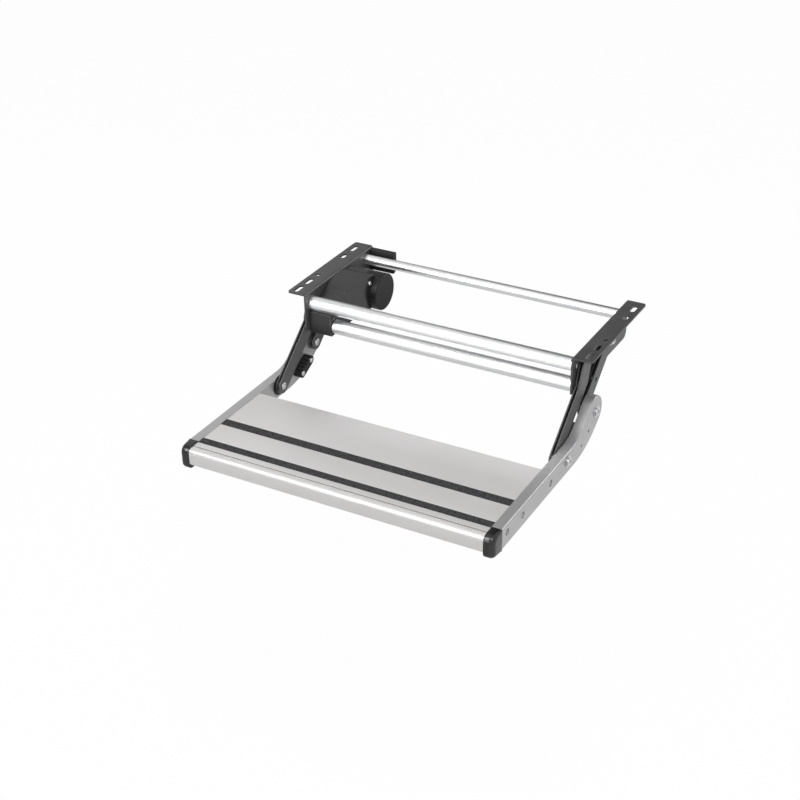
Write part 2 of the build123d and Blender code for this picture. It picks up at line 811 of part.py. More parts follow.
def make_gland():
    x, z = gland_place
    gland = Pos(x, box_rear, z) * Rot(-90, 0, 0) * Cylinder(
        gland_radius, gland_length, align=(Align.CENTER, Align.CENTER, Align.MIN))
    bore = Pos(x, box_rear, z) * Rot(-90, 0, 0) * Cylinder(
        gland_bore, gland_length, align=(Align.CENTER, Align.CENTER, Align.MIN))
    return gland - bore


os.makedirs("parts", exist_ok=True)

save_pair("bracket", make_bracket())
save("upper_tube", make_cross_tube(upper_tube_axis, upper_tube_radius))
save("rear_tube", make_cross_tube(rear_tube_axis, rear_tube_radius))
save_both("upper_tube_plugs", [make_plug(upper_tube_axis, upper_tube_radius)])
save_both("rear_tube_plugs", [make_plug(rear_tube_axis, rear_tube_radius)])
save_both("upper_tube_screws", [make_front_screw()])
save_both("rear_tube_screws", [make_rear_screw()])
save_both("shaft_bushes", [make_shaft_bush()])
save_both("rear_pivot_studs", [make_rear_pivot_stud()])
save_both("rear_pivot_washers", [make_rear_pivot_washer()])

save("gear_case_cover", make_case_cover())
save("gear_case_back", make_case_back())
save("gear_case_screws", Compound(children=[make_case_screw(place) for place in case_screw_places]))
save("motor_shoulder_screw", make_shoulder_screw())
save("shaft_seal", make_shaft_seal())
save("motor_can", make_motor_can())
save("motor_core", make_motor_core())
save("motor_gearhead", make_gearhead())
save("front_idler_pin", make_idler_pin(1))
save("rear_idler_pin", make_idler_pin(2))
save("front_idler_gear", make_idler(1))
save("rear_idler_gear", make_idler(2))
save("motor_pinion", make_pinion())
save("output_gear", make_gear(0, shaft_radius + seat_clearance))

save("control_box", make_control_box())
save("control_box_base", slab(box_outline(), -web_inner, box_split))
save("cable_gland", make_gland())

save("drive_tube", make_drive_tube())
save("stub_shaft_right", make_stub_right())
save("stub_shaft_left", make_stub_left())
save_pair("front_arm", make_front_arm())
save_pair("rear_arm", make_rear_arm())
save_pair("front_arm_bush", make_arm_bush(front_foot, arm_inner))
save_pair("rear_arm_upper_bush", make_arm_bush(rear_pivot, web_outer + float_gap))
save_pair("rear_arm_lower_bush", make_arm_bush(rear_foot, arm_inner))

save("tread", make_tread())
save("grip_strip_rear", make_strip(strip_rear_edges))
save("grip_strip_front", make_strip(strip_front_edges))
save_pair("side_plate", make_side_plate())
save_pair("end_cap", make_end_cap())
save_both("side_plate_screws", [make_plate_screw(place) for place in plate_screws])
save_pair("front_foot_bolt", make_foot_bolt(front_foot))
save_pair("rear_foot_bolt", make_foot_bolt(rear_foot))
save_both("foot_washers", [make_foot_washer(front_foot), make_foot_washer(rear_foot)])
save_both("pivot_discs", [make_pivot_disc()])
save_pair("stop_block", make_stop_block())
save_both("stop_block_screws", [make_stop_screw(place) for place in stop_screws])
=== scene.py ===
# %% [markdown]
# An electric entry step for a caravan hangs under the door on two folded steel brackets. Its moving parts
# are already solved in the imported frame, so this lesson only dresses them: each node either keeps its
# solid and gets a finish, or makes way for a finer surface that sits in exactly the same place.

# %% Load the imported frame
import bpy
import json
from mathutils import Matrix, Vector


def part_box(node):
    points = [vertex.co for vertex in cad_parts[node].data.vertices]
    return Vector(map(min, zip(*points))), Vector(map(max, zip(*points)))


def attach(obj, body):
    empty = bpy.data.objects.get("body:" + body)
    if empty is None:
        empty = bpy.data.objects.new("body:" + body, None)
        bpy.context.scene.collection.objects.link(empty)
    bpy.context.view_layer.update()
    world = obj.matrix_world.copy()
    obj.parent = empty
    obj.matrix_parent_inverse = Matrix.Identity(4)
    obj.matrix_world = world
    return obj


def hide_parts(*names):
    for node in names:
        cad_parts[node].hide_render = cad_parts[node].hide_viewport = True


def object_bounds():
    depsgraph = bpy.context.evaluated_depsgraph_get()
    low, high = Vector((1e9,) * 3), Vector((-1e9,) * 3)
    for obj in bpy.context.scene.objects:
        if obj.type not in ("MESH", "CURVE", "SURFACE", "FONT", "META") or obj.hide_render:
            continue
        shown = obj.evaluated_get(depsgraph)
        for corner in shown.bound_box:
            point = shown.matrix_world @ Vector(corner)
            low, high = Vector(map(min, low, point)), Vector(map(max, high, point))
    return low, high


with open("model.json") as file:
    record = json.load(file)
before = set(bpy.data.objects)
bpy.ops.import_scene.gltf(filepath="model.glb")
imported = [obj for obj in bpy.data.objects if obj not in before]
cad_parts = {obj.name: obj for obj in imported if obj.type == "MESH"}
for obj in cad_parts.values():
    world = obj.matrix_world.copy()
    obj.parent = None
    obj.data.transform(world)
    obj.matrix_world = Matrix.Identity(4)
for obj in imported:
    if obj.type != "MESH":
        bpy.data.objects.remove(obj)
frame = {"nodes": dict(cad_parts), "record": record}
cad_low, cad_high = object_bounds()
print("CAD box", [round(v, 4) for v in cad_low], [round(v, 4) for v in cad_high])

import bmesh
import bpy
import json
import math
import numpy as np
from mathutils import Matrix, Vector

MM = 0.001
cad_nodes = frame["nodes"]
record = frame["record"]
body_of = {node: body for body, members in record["behaviour"]["bodies"].items() for node in members}
slot_of = {row["node"]: row["material_slot"] for row in record["subparts"]}

# %% [markdown]
# Every finish on the step starts from one Principled shader. Its pattern could come from pictures, but
# those need unwrapping and blur up close, so it is made of nodes that read Object coordinates. Each object
# sits at the origin, so these are metres in the frame, and a pattern keeps its true size on every piece.

# %% A small kit for procedural finishes
FINISHES = {}


class Finish:
    """One material: a Principled shader with helpers that add pattern nodes."""

    def __init__(self, name, colour, roughness, metallic=0.0, shine=0.5):
        self.material = bpy.data.materials.new(name)
        self.material.use_nodes = True
        self.nodes = self.material.node_tree.nodes
        self.links = self.material.node_tree.links
        self.shader = self.nodes["Principled BSDF"]
        self.shader.inputs["Base Color"].default_value = (*colour, 1)
        self.shader.inputs["Roughness"].default_value = roughness
        self.shader.inputs["Metallic"].default_value = metallic
        self.shader.inputs["Specular IOR Level"].default_value = shine
        self.coordinates = self.nodes.new("ShaderNodeTexCoord")

    def noise(self, scale, detail=4.0, stretch=(1, 1, 1)):
        """Noise whose grains are 1/scale metres, drawn out along an axis by a small stretch value."""
        mapping = self.nodes.new("ShaderNodeMapping")
        mapping.inputs["Scale"].default_value = stretch
        texture = self.nodes.new("ShaderNodeTexNoise")
        texture.inputs["Scale"].default_value = scale
        texture.inputs["Detail"].default_value = detail
        self.links.new(self.coordinates.outputs["Object"], mapping.inputs["Vector"])
        self.links.new(mapping.outputs["Vector"], texture.inputs["Vector"])
        return texture.outputs["Fac"]

    def ramp(self, source, low=0.0, high=1.0, start=0.3, stop=0.7):
        """Maps a pattern's values from start to stop onto low to high."""
        scale = self.nodes.new("ShaderNodeMapRange")
        scale.inputs["From Min"].default_value = start
        scale.inputs["From Max"].default_value = stop
        scale.inputs["To Min"].default_value = low
        scale.inputs["To Max"].default_value = high
        self.links.new(source, scale.inputs["Value"])
        return scale.outputs["Result"]

    def colours(self, source, darker, paler, start=0.3, stop=0.7):
        """Mixes two colours by a pattern, all darker below start and all paler above stop."""
        mix = self.nodes.new("ShaderNodeMix")
        mix.data_type = "RGBA"
        mix.inputs["A"].default_value = (*darker, 1)
        mix.inputs["B"].default_value = (*paler, 1)
        self.links.new(self.ramp(source, start=start, stop=stop), mix.inputs["Factor"])
        self.links.new(mix.outputs["Result"], self.shader.inputs["Base Color"])

    def gloss(self, source, smooth, rough):
        """Lets the roughness wander between two values with a pattern."""
        self.links.new(self.ramp(source, smooth, rough), self.shader.inputs["Roughness"])

    def bump(self, source, height, strength=1.0, after=None):
        """Raises the surface by a pattern, in metres, on top of an earlier bump if one is given."""
        node = self.nodes.new("ShaderNodeBump")
        node.inputs["Strength"].default_value = strength
        node.inputs["Distance"].default_value = height
        self.links.new(source, node.inputs["Height"])
        if after is not None:
            self.links.new(after, node.inputs["Normal"])
        self.links.new(node.outputs["Normal"], self.shader.inputs["Normal"])
        return node.outputs["Normal"]


def finish_slot(slot, material):
    """Keeps a material for all the pieces of a slot."""
    FINISHES[slot] = material
    print("slot", slot, "gets", material.name)


# %% [markdown]
# The brackets and arms are powder coated steel: a satin black skin with a fine orange peel about a
# millimetre across, slightly cloudy in its gloss. One noise drives both the grey and the roughness, so
# that the clouds agree, and a second, longer bump under the peel keeps the flat sheet from looking like
# glass.

# %% Powder coat of the brackets and arms


def powder_coat():
    """Satin black with a fine orange peel and clouds in its gloss."""
    finish = Finish("powder_coat_black", (0.050, 0.050, 0.051), roughness=0.42, shine=0.6)
    clouds = finish.noise(scale=14, detail=3)
    finish.colours(clouds, darker=(0.046, 0.046, 0.047), paler=(0.062, 0.062, 0.063))
    finish.gloss(clouds, smooth=0.36, rough=0.48)
    peel = finish.bump(finish.noise(scale=900, detail=2), height=0.00006, strength=0.6)
    finish.bump(finish.noise(scale=60, detail=2), height=0.0001, strength=0.25, after=peel)
    return finish.material


finish_slot("black_steel", powder_coat())

# %% [markdown]
# The gear case is a painted casting. Its black is deeper than the coat on the sheet and its grain coarser,
# as the mould leaves it, so it takes the same recipe with fewer, larger grains and a higher bump.

# %% Paint of the gear case


def cast_black():
    """Black paint on a casting, whose coarse grain shows through."""
    finish = Finish("cast_black", (0.022, 0.022, 0.023), roughness=0.34, shine=0.6)
    clouds = finish.noise(scale=22, detail=4)
    finish.colours(clouds, darker=(0.014, 0.014, 0.015), paler=(0.022, 0.022, 0.023))
    finish.gloss(clouds, smooth=0.28, rough=0.38)
    finish.bump(finish.noise(scale=420, detail=3), height=0.00012, strength=0.6)
    return finish.material


finish_slot("black_casting", cast_black())

# %% [markdown]
# The bushes, the control box and the stop blocks are moulded. A mould gives its own fine grain to plastic
# and rubber alike, so one function makes all three, and only the roughness and the height of the grain
# differ.

# %% Moulded plastic and rubber


def moulded_black(name, roughness, grain):
    """Moulded plastic or rubber with a fine spark grain of a given height in metres."""
    finish = Finish(name, (0.014, 0.014, 0.015), roughness, shine=0.3)
    clouds = finish.noise(scale=30, detail=3)
    finish.colours(clouds, darker=(0.010, 0.010, 0.011), paler=(0.018, 0.018, 0.019))
    finish.gloss(clouds, smooth=roughness - 0.05, rough=roughness + 0.06)
    finish.bump(finish.noise(scale=1300, detail=2), height=grain, strength=0.7)
    return finish.material


finish_slot("bearing_plastic", moulded_black("bearing_plastic", roughness=0.5, grain=0.00002))
finish_slot("black_plastic", moulded_black("black_plastic", roughness=0.45, grain=0.00004))
finish_slot("black_rubber", moulded_black("black_rubber", roughness=0.62, grain=0.00005))

# %% [markdown]
# The end caps are the shiniest plastic on the step. A perfect mirror would look computed, so a slow, very
# shallow wave bends the reflections, which is how plastic flows and shrinks in a polished mould.

# %% Polished plastic of the end caps


def polished_black():
    """Polished moulding with very shallow flow waves."""
    finish = Finish("gloss_black", (0.009, 0.009, 0.010), roughness=0.14)
    waves = finish.noise(scale=45, detail=2)
    finish.gloss(waves, smooth=0.10, rough=0.19)
    finish.colours(waves, darker=(0.007, 0.007, 0.008), paler=(0.012, 0.012, 0.013))
    finish.bump(finish.noise(scale=70, detail=1), height=0.00012, strength=0.25)
    return finish.material


finish_slot("gloss_black", polished_black())

# %% [markdown]
# The cross tubes are drawn and polished, so their scratches run along X. Noise that is drawn out almost a
# hundredfold along one axis gives such hairlines, and it drives both the roughness and the bump.

# %% Drawn tube


def drawn_tube():
    """Polished drawn tube: long hairlines along X, a little haze between them."""
    finish = Finish("drawn_tube", (0.86, 0.87, 0.88), roughness=0.2, metallic=1.0)
    lines = finish.noise(scale=520, detail=3, stretch=(0.012, 1, 1))
    haze = finish.noise(scale=9, detail=3)
    finish.gloss(lines, smooth=0.26, rough=0.36)
    finish.colours(haze, darker=(0.83, 0.84, 0.85), paler=(0.91, 0.91, 0.92))
    finish.bump(lines, height=0.00001, strength=0.3)
    return finish.material


finish_slot("bright_tube", drawn_tube())

# %% [markdown]
# The tread is satin anodised. Anodising leaves a matt grain over the long die lines, and it dulls the
# metal, so the shader is only part metallic: a full metal would turn dark wherever it reflects nothing.

# %% Anodised tread


def satin_tread():
    """Satin anodised extrusion: fine die lines along X over a matt grain."""
    finish = Finish("satin_tread", (0.60, 0.59, 0.59), roughness=0.46, metallic=0.3)
    lines = finish.noise(scale=760, detail=3, stretch=(0.01, 1, 1))
    clouds = finish.noise(scale=6, detail=3)
    finish.colours(clouds, darker=(0.605, 0.595, 0.59), paler=(0.645, 0.635, 0.63))
    finish.gloss(lines, smooth=0.28, rough=0.37)
    grain = finish.bump(finish.noise(scale=2200, detail=2), height=0.00002, strength=0.5)
    finish.bump(lines, height=0.000015, strength=0.5, after=grain)
    return finish.material


finish_slot("tread_aluminium", satin_tread())

# %% [markdown]
# The side plates wear a grey metallic paint. Its flakes are far smaller than a millimetre, so they show as
# a tight change of grey rather than as single dots, and the roughness changes slowly, as sprayed paint
# does.

# %% Grey paint of the side plates


def grey_enamel():
    """Grey metallic paint: a tight flake under a smooth coat."""
    finish = Finish("grey_enamel", (0.40, 0.40, 0.40), roughness=0.34, metallic=0.6)
    flake = finish.noise(scale=1500, detail=2)
    finish.colours(flake, darker=(0.385, 0.38, 0.385), paler=(0.47, 0.465, 0.47))
    finish.gloss(finish.noise(scale=12, detail=3), smooth=0.30, rough=0.40)
    finish.bump(finish.noise(scale=700, detail=2), height=0.00003, strength=0.4)
    return finish.material


finish_slot("grey_plate", grey_enamel())

# %% [markdown]
# Bolts and washers carry a dull zinc layer, and the gears are bare machined steel. Both are metals with
# soft, patchy haze, so they share a function, and the tint and the roughness tell them apart.

# %% Zinc and machined steel


def hazy_metal(name, tint, roughness):
    """Zinc plating or machined steel: the patches are a little darker than the tint, and smoother."""
    finish = Finish(name, tint, roughness, metallic=1.0)
    patches = finish.noise(scale=160, detail=4)
    darker = tuple(0.82 * part for part in tint)
    finish.colours(patches, darker=darker, paler=tint)
    finish.gloss(patches, smooth=roughness - 0.08, rough=roughness + 0.1)
    finish.bump(finish.noise(scale=1400, detail=2), height=0.00002, strength=0.5)
    return finish.material


finish_slot("zinc_steel", hazy_metal("zinc_plate", (0.58, 0.58, 0.59), roughness=0.28))
finish_slot("gear_steel", hazy_metal("machined_steel", (0.50, 0.50, 0.51), roughness=0.30))

# %% [markdown]
# The grip strips are mineral grit in black resin. The grains are real geometry further on, so the material
# only adds what is smaller: facets from a cell pattern and a hard mottle of nearly black and dark grey.

# %% Grit


def grit():
    """Anti-slip mineral: nearly black resin with paler facets; the cells measure about two millimetres."""
    finish = Finish("grit", (0.05, 0.05, 0.05), roughness=0.9, shine=0.3)
    cells = finish.nodes.new("ShaderNodeTexVoronoi")
    cells.inputs["Scale"].default_value = 520
    finish.links.new(finish.coordinates.outputs["Object"], cells.inputs["Vector"])
    mottle = finish.noise(scale=640, detail=2)
    finish.colours(mottle, darker=(0.004, 0.004, 0.005), paler=(0.060, 0.060, 0.062), start=0.43, stop=0.58)
    finish.bump(cells.outputs["Distance"], height=0.0004, strength=0.8)
    return finish.material


finish_slot("grip", grit())

# %% [markdown]
# Every CAD node first takes the finish of its own slot. Inner pieces that hardly show, such as the gears,
# are then done, and the visible ones are replaced below.

# %% Dress the CAD nodes
for node, thing in cad_nodes.items():
    thing.data.materials.clear()
    thing.data.materials.append(FINISHES[slot_of[node]])
print("dressed", len(cad_nodes), "nodes with", len(FINISHES), "finishes")

# %% [markdown]
# Real sheet metal has no knife edges: light always catches a small radius. Modelling each radius by hand
# would be long work, so a copy of the node is welded, because a CAD node arrives as loose triangles, its
# flat faces are rejoined, and a narrow Bevel modifier rounds every true corner.

# %% Softened copies of the sheet and cast pieces
WELD_DISTANCE = 2e-6
FLAT_ANGLE = math.radians(0.6)
CORNER_ANGLE = 32
SOFT_EDGES = {
    "bracket_left": 0.35, "bracket_right": 0.35,
    "front_arm_left": 0.3, "front_arm_right": 0.3, "rear_arm_left": 0.3, "rear_arm_right": 0.3,
    "side_plate_left": 0.5, "side_plate_right": 0.5,
    "gear_case_cover": 1.0, "gear_case_back": 0.3,
    "control_box": 0.3, "control_box_base": 0.3,
    "stop_block_left": 0.3, "stop_block_right": 0.3,
}


def shade(mesh, angle):
    """Smooth shading that breaks where two faces meet at more than an angle, in degrees."""
    mesh.polygons.foreach_set("use_smooth", np.ones(len(mesh.polygons), dtype=bool))
    mesh.set_sharp_from_angle(angle=math.radians(angle))


def place_piece(name, mesh, node):
    """Links a mesh as a piece with its node's finish and body, and lets it stand for the node."""
    piece = bpy.data.objects.new(name, mesh)
    bpy.context.scene.collection.objects.link(piece)
    mesh.materials.clear()
    mesh.materials.append(FINISHES[slot_of[node]])
    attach(piece, body_of[node])
    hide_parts(node)
    return piece


def softened(node, width):
    """A welded copy of a CAD node with a bevel of a given width in millimetres on its sharp edges."""
    mesh = cad_nodes[node].data.copy()
    mesh.name = node + "_soft"
    work = bmesh.new()
    work.from_mesh(mesh)
    bmesh.ops.remove_doubles(work, verts=work.verts, dist=WELD_DISTANCE)
    bmesh.ops.dissolve_limit(work, angle_limit=FLAT_ANGLE, verts=work.verts, edges=work.edges)
    work.to_mesh(mesh)
    work.free()
    shade(mesh, CORNER_ANGLE)
    bevel = place_piece(node + "_soft", mesh, node).modifiers.new("edge", "BEVEL")
    bevel.width = width * MM
    bevel.segments = 2
    bevel.limit_method = "ANGLE"
    bevel.angle_limit = math.radians(CORNER_ANGLE)
    bevel.harden_normals = True


for node, width in SOFT_EDGES.items():
    softened(node, width)
print("softened", len(SOFT_EDGES), "pieces")

# %% [markdown]
# Everything round on this step turns about an X axis: tubes, bolts, washers and the motor. A Screw
# modifier could turn each outline, but one function of whole arrays makes them all and can do one thing
# more. It turns a list of (x, radius) stations about the point (y, z), and a third number pulls a station
# from a circle towards a hexagon, which is how a key socket is sunk into a bolt head.

# %% Turned surfaces
SAME_POINT = 1e-7


def grid_quads(rows, columns, closed_rows=False):
    """Corner numbers of the quads on a grid of points, where a point's number is its row times the columns
    plus its column. The grid closes round its columns, and round its rows if asked."""
    first_rows = np.arange(rows if closed_rows else rows - 1)
    row, column = np.meshgrid(first_rows, np.arange(columns), indexing="ij")
    here = row * columns
    under = (row + 1) % rows * columns
    beside = (column + 1) % columns
    corners = [here + column, here + beside, under + beside, under + column]
    return np.stack(corners, axis=-1).reshape(-1, 4).tolist()


def turned(centre, stations, segments=64, hollow=False):
    """Points and faces of stations (x, radius, hexagon) turned about X: y is the radius times the cosine of
    the angle and z the radius times its sine. The hexagon number mixes the plain radius with the radius
    over the cosine of the angle from the nearest flat."""
    table = np.array([tuple(row) + (0.0,) * (3 - len(row)) for row in stations], float)
    angle = np.linspace(0, 2 * np.pi, segments, endpoint=False)
    flat = 1 / np.cos((angle % (np.pi / 3)) - np.pi / 6)
    radius = table[:, 1:2] * (1 + table[:, 2:3] * (flat[None, :] - 1))
    x = np.repeat(table[:, 0:1], segments, axis=1)
    points = np.stack([x, centre[0] + radius * np.cos(angle), centre[1] + radius * np.sin(angle)], axis=-1)
    return points.reshape(-1, 3), grid_quads(len(table), segments, hollow)


def mesh_piece(name, points, faces, node, angle=30):
    """Puts points in millimetres and faces into a closed mesh and lets it stand for its node."""
    mesh = bpy.data.meshes.new(name)
    mesh.from_pydata((points * MM).tolist(), [], faces)
    work = bmesh.new()
    work.from_mesh(mesh)
    bmesh.ops.remove_doubles(work, verts=work.verts, dist=SAME_POINT)
    bmesh.ops.recalc_face_normals(work, faces=work.faces)
    work.to_mesh(mesh)
    work.free()
    shade(mesh, angle)
    return place_piece(name, mesh, node)


print("a collar of 4 stations and 64 segments has", len(grid_quads(4, 64)), "quads")

# %% [markdown]
# The cross tubes are the brightest lines of the step. A tessellated cylinder shows its flats in a polished
# reflection, so the tubes are turned again with many more segments, with a wall and a broken edge at each
# end.

# %% Cross tubes
TUBE_WALL = 2.5
TUBE_EDGE = 0.5
TUBE_RINGS = 12
ROUND_SEGMENTS = 128


def node_box(node):
    """A node's lowest and highest corners in millimetres."""
    low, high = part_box(node)
    return np.array(low) / MM, np.array(high) / MM


def node_axis(node):
    """The (y, z) of the axis of a round node that lies along X."""
    low, high = node_box(node)
    return (low[1:] + high[1:]) / 2


def tube_stations(low, high, radius):
    """A closed wall section: out along the tube, round the end and back through the bore."""
    bore = radius - TUBE_WALL
    length = np.linspace(low + TUBE_EDGE, high - TUBE_EDGE, TUBE_RINGS)
    outside = [(x, radius) for x in length]
    inside = [(x, bore) for x in length[::-1]]
    high_end = [(high, radius - TUBE_EDGE), (high, bore + TUBE_EDGE)]
    low_end = [(low, bore + TUBE_EDGE), (low, radius - TUBE_EDGE)]
    return outside + high_end + inside + low_end


for tube in ("upper_tube", "rear_tube", "drive_tube"):
    low, high = node_box(tube)
    radius = (high[1] - low[1]) / 2
    stations = tube_stations(low[0], high[0], radius)
    points, faces = turned(node_axis(tube), stations, ROUND_SEGMENTS, hollow=True)
    mesh_piece(tube + "_drawn", points, faces, tube)
    print(tube, "diameter", round(2 * radius, 2))

# %% [markdown]
# The arms hang on socket bolts. Seen close, a bolt head is a domed rim with a small chamfer and a dark
# six-sided hole, and its inner end is a smooth rivet dome. A Boolean could cut the hole, but it leaves
# ragged faces on so small a piece, so the hole is simply more stations of the same turned outline.

# %% Foot bolts
SOCKET_DEPTH = 1.8
MOUTH_DEPTH = 0.3
MOUTH_WIDTH = 0.35
MOUTH_HEXAGON = 0.6
SEAT_BREAK = 0.15
DOME_STEPS = 5
BOLT_RADIUS = 5.0
HEAD_HEIGHT = 3.0
HEAD_RADIUS = 7.5
INNER_HEIGHT = 2.2
INNER_RADIUS = 6.75
BOLT_SEGMENTS = 72


def socket_head(face, seat, radius, socket, dome):
    """Stations of a head from the middle of its socket out to its seat; face is its top in x and seat its
    underside. The rim is a quarter circle: it falls by dome times one less the cosine, and widens by dome
    times the sine."""
    way = 1.0 if face > seat else -1.0
    floor = face - way * SOCKET_DEPTH
    turn = np.linspace(0, math.pi / 2, DOME_STEPS)
    hole = [(floor, 0.0), (floor, socket, 1.0), (face - way * MOUTH_DEPTH, socket, 1.0)]
    mouth = [(face, socket + MOUTH_WIDTH, MOUTH_HEXAGON)]
    rim = [(face - way * dome * (1 - math.cos(a)), radius - dome + dome * math.sin(a)) for a in turn]
    return hole + mouth + rim + [(seat + way * SEAT_BREAK, radius), (seat, radius - SEAT_BREAK)]


def domed_head(face, seat, radius, dome):
    """Stations of a smooth head: it falls by dome times one less the cosine, and its radius grows with the
    sine."""
    way = 1.0 if face > seat else -1.0
    turn = np.linspace(0, math.pi / 2, 2 * DOME_STEPS)
    rise = [(face - way * dome * (1 - math.cos(a)), radius * math.sin(a)) for a in turn]
    return rise + [(seat, radius)]


def mirrored(points):
    """The same points on the other side of the vehicle's middle."""
    return points * np.array([-1.0, 1.0, 1.0])


def bolt_piece(node):
    """A foot bolt, read from its node's box: socket head outside, shank, and a domed head inside."""
    low, high = node_box(node)
    on_right = high[0] > 0
    outer, inner = (high[0], low[0]) if on_right else (-low[0], -high[0])
    outer_seat = outer - HEAD_HEIGHT
    inner_seat = inner + INNER_HEIGHT
    stations = socket_head(outer, outer_seat, HEAD_RADIUS, socket=3.0, dome=1.4)
    stations += [(outer_seat, BOLT_RADIUS), (inner_seat, BOLT_RADIUS)]
    stations += domed_head(inner, inner_seat, INNER_RADIUS, dome=INNER_HEIGHT * 0.9)[::-1]
    points, faces = turned(node_axis(node), stations, BOLT_SEGMENTS)
    mesh_piece(node + "_turned", points if on_right else mirrored(points), faces, node, angle=35)
    print(node, "length", round(outer - inner, 2))


for end in ("front", "rear"):
    for side in ("left", "right"):
        bolt_piece(f"{end}_foot_bolt_{side}")

# %% [markdown]
# A flat-headed screw closes each end of the upper tube, and a button head each end of the rear one. Such a
# node holds both its screws, so the right one is turned, mirrored to the left and joined into one piece.

# %% Screws of the cross tubes
BRACKET_SHEET = 3.0
WEB_INNER = node_box("bracket_right")[0][0]
WEB_OUTER = WEB_INNER + BRACKET_SHEET
TUBE_SCREW_END = WEB_OUTER - 18.0
TUBE_SCREW_RADIUS = 3.0
COUNTERSINK = 2.4


def join_surfaces(parts):
    """Joins several (points, faces) pairs into one, each face number raised by the points before it."""
    points, faces, first = [], [], 0
    for these, quads in parts:
        points.append(these)
        faces += (np.array(quads) + first).tolist()
        first += len(these)
    return np.concatenate(points), faces


def turned_group(node, places, stations, both=True, segments=48):
    """The same turned shape at several (y, z) places, mirrored to the left side when both is true."""
    parts = [turned(place, stations, segments) for place in places]
    if both:
        parts += [(mirrored(points), faces) for points, faces in parts]
    points, faces = join_surfaces(parts)
    mesh_piece(node + "_turned", points, faces, node, angle=35)
    print(node, "turned", len(parts), "times")


def shank(radius, start, end):
    """Stations of a plain shank with a flat end."""
    return [(start, radius), (end, radius), (end, 0.0)]


flat_head = socket_head(WEB_OUTER + 0.9, WEB_OUTER, radius=5.4, socket=1.75, dome=0.85)
flat_screw = flat_head + shank(TUBE_SCREW_RADIUS, WEB_OUTER - COUNTERSINK, TUBE_SCREW_END)
turned_group("upper_tube_screws", [node_axis("upper_tube")], flat_screw)
button_head = socket_head(WEB_OUTER + 3.0, WEB_OUTER, radius=5.5, socket=2.0, dome=1.9)
button_screw = button_head + shank(TUBE_SCREW_RADIUS, WEB_OUTER, TUBE_SCREW_END)
turned_group("rear_tube_screws", [node_axis("rear_tube")], button_screw)

# %% [markdown]
# Three sunk socket screws hold each side plate to the tread, and two small domed ones hold each stop
# block. Their places are those of the holes, so they are written once here and used again for the tread's
# ports.

# %% Screws of the side plates and stop blocks
PLATE_INNER = node_box("side_plate_right")[0][0]
PLATE_OUTER = node_box("side_plate_right")[1][0]
PLATE_SCREW_PLACES = ((-217.0, -144.0), (-317.5, -142.0), (-370.5, -139.5))
PLATE_SCREW_FACE = PLATE_OUTER - 2.0
PLATE_SCREW_SEAT = PLATE_SCREW_FACE - 5.0
PLATE_SCREW_END = PLATE_INNER - 16.0
PLATE_SCREW_RADIUS = 3.0
STOP_SCREW_PLACES = ((-72.0, -128.0), (-99.0, -141.0))
STOP_FACE = node_box("stop_block_right")[0][0]
STOP_SCREW_END = PLATE_INNER + 10.0
STOP_SCREW_RADIUS = 2.5

plate_screw = socket_head(PLATE_SCREW_FACE, PLATE_SCREW_SEAT, radius=5.5, socket=2.5, dome=0.6)
plate_screw += shank(PLATE_SCREW_RADIUS, PLATE_SCREW_SEAT, PLATE_SCREW_END)
turned_group("side_plate_screws", PLATE_SCREW_PLACES, plate_screw)
stop_screw = domed_head(STOP_FACE - 2.0, STOP_FACE, radius=4.5, dome=1.8)
stop_screw += shank(STOP_SCREW_RADIUS, STOP_FACE, STOP_SCREW_END)
turned_group("stop_block_screws", STOP_SCREW_PLACES, stop_screw)

# %% [markdown]
# A washer lies under each bolt head, a wider disc keeps each front arm off its plate, and a shouldered
# stud carries each rear arm on the bracket's web. A washer is the simplest turned outline: its bore, its
# two faces and its broken outer edge, and only the edge makes it catch a thin line of light.

# %% Washers, pivot discs and studs
WASHER_BORE = 5.02
WASHER_RADIUS = 10.0
WASHER_THICK = 1.2
DISC_RADIUS = 18.0
DISC_SEGMENTS = 96
STUD_HEAD = 5.0


def washer(outer, low, high, edge=0.3):
    """Stations of a flat ring with broken outer edges, from its bore round to its bore."""
    rim = [(low, outer - edge), (low + edge, outer), (high - edge, outer), (high, outer - edge)]
    return [(low, WASHER_BORE)] + rim + [(high, WASHER_BORE), (low, WASHER_BORE)]


front_foot = node_axis("front_foot_bolt_right")
rear_foot = node_axis("rear_foot_bolt_right")
turned_group("foot_washers", [front_foot, rear_foot],
             washer(WASHER_RADIUS, PLATE_OUTER, PLATE_OUTER + WASHER_THICK))
turned_group("pivot_discs", [front_foot],
             washer(DISC_RADIUS, PLATE_INNER - WASHER_THICK, PLATE_INNER, edge=0.2), segments=DISC_SEGMENTS)

stud_axis = node_axis("rear_pivot_studs")
stud_face = node_box("rear_pivot_studs")[1][0]
stud_seat = stud_face - STUD_HEAD
stud_head = socket_head(stud_face, stud_seat, radius=7.5, socket=3.0, dome=1.5)
turned_group("rear_pivot_studs", [stud_axis], stud_head + shank(BOLT_RADIUS, stud_seat, WEB_INNER),
             segments=BOLT_SEGMENTS)
turned_group("rear_pivot_washers", [stud_axis], washer(WASHER_RADIUS, stud_seat - WASHER_THICK, stud_seat),
             segments=BOLT_SEGMENTS)

# %% [markdown]
# The motor hides in a deep-drawn cup that shows its flat round end to the camera. The cup is turned as one
# wall, outside, end and inside, with a small soft rim. Its paint is thinner and deeper than the casting's,
# so it has a finish of its own, which takes the first material place of the piece.

# %% Motor can
CAN_EDGE = 1.8
CAN_END = 2.2
CAN_WALL = 2.0
QUARTER_TURN = np.linspace(0, math.pi / 2, 9)


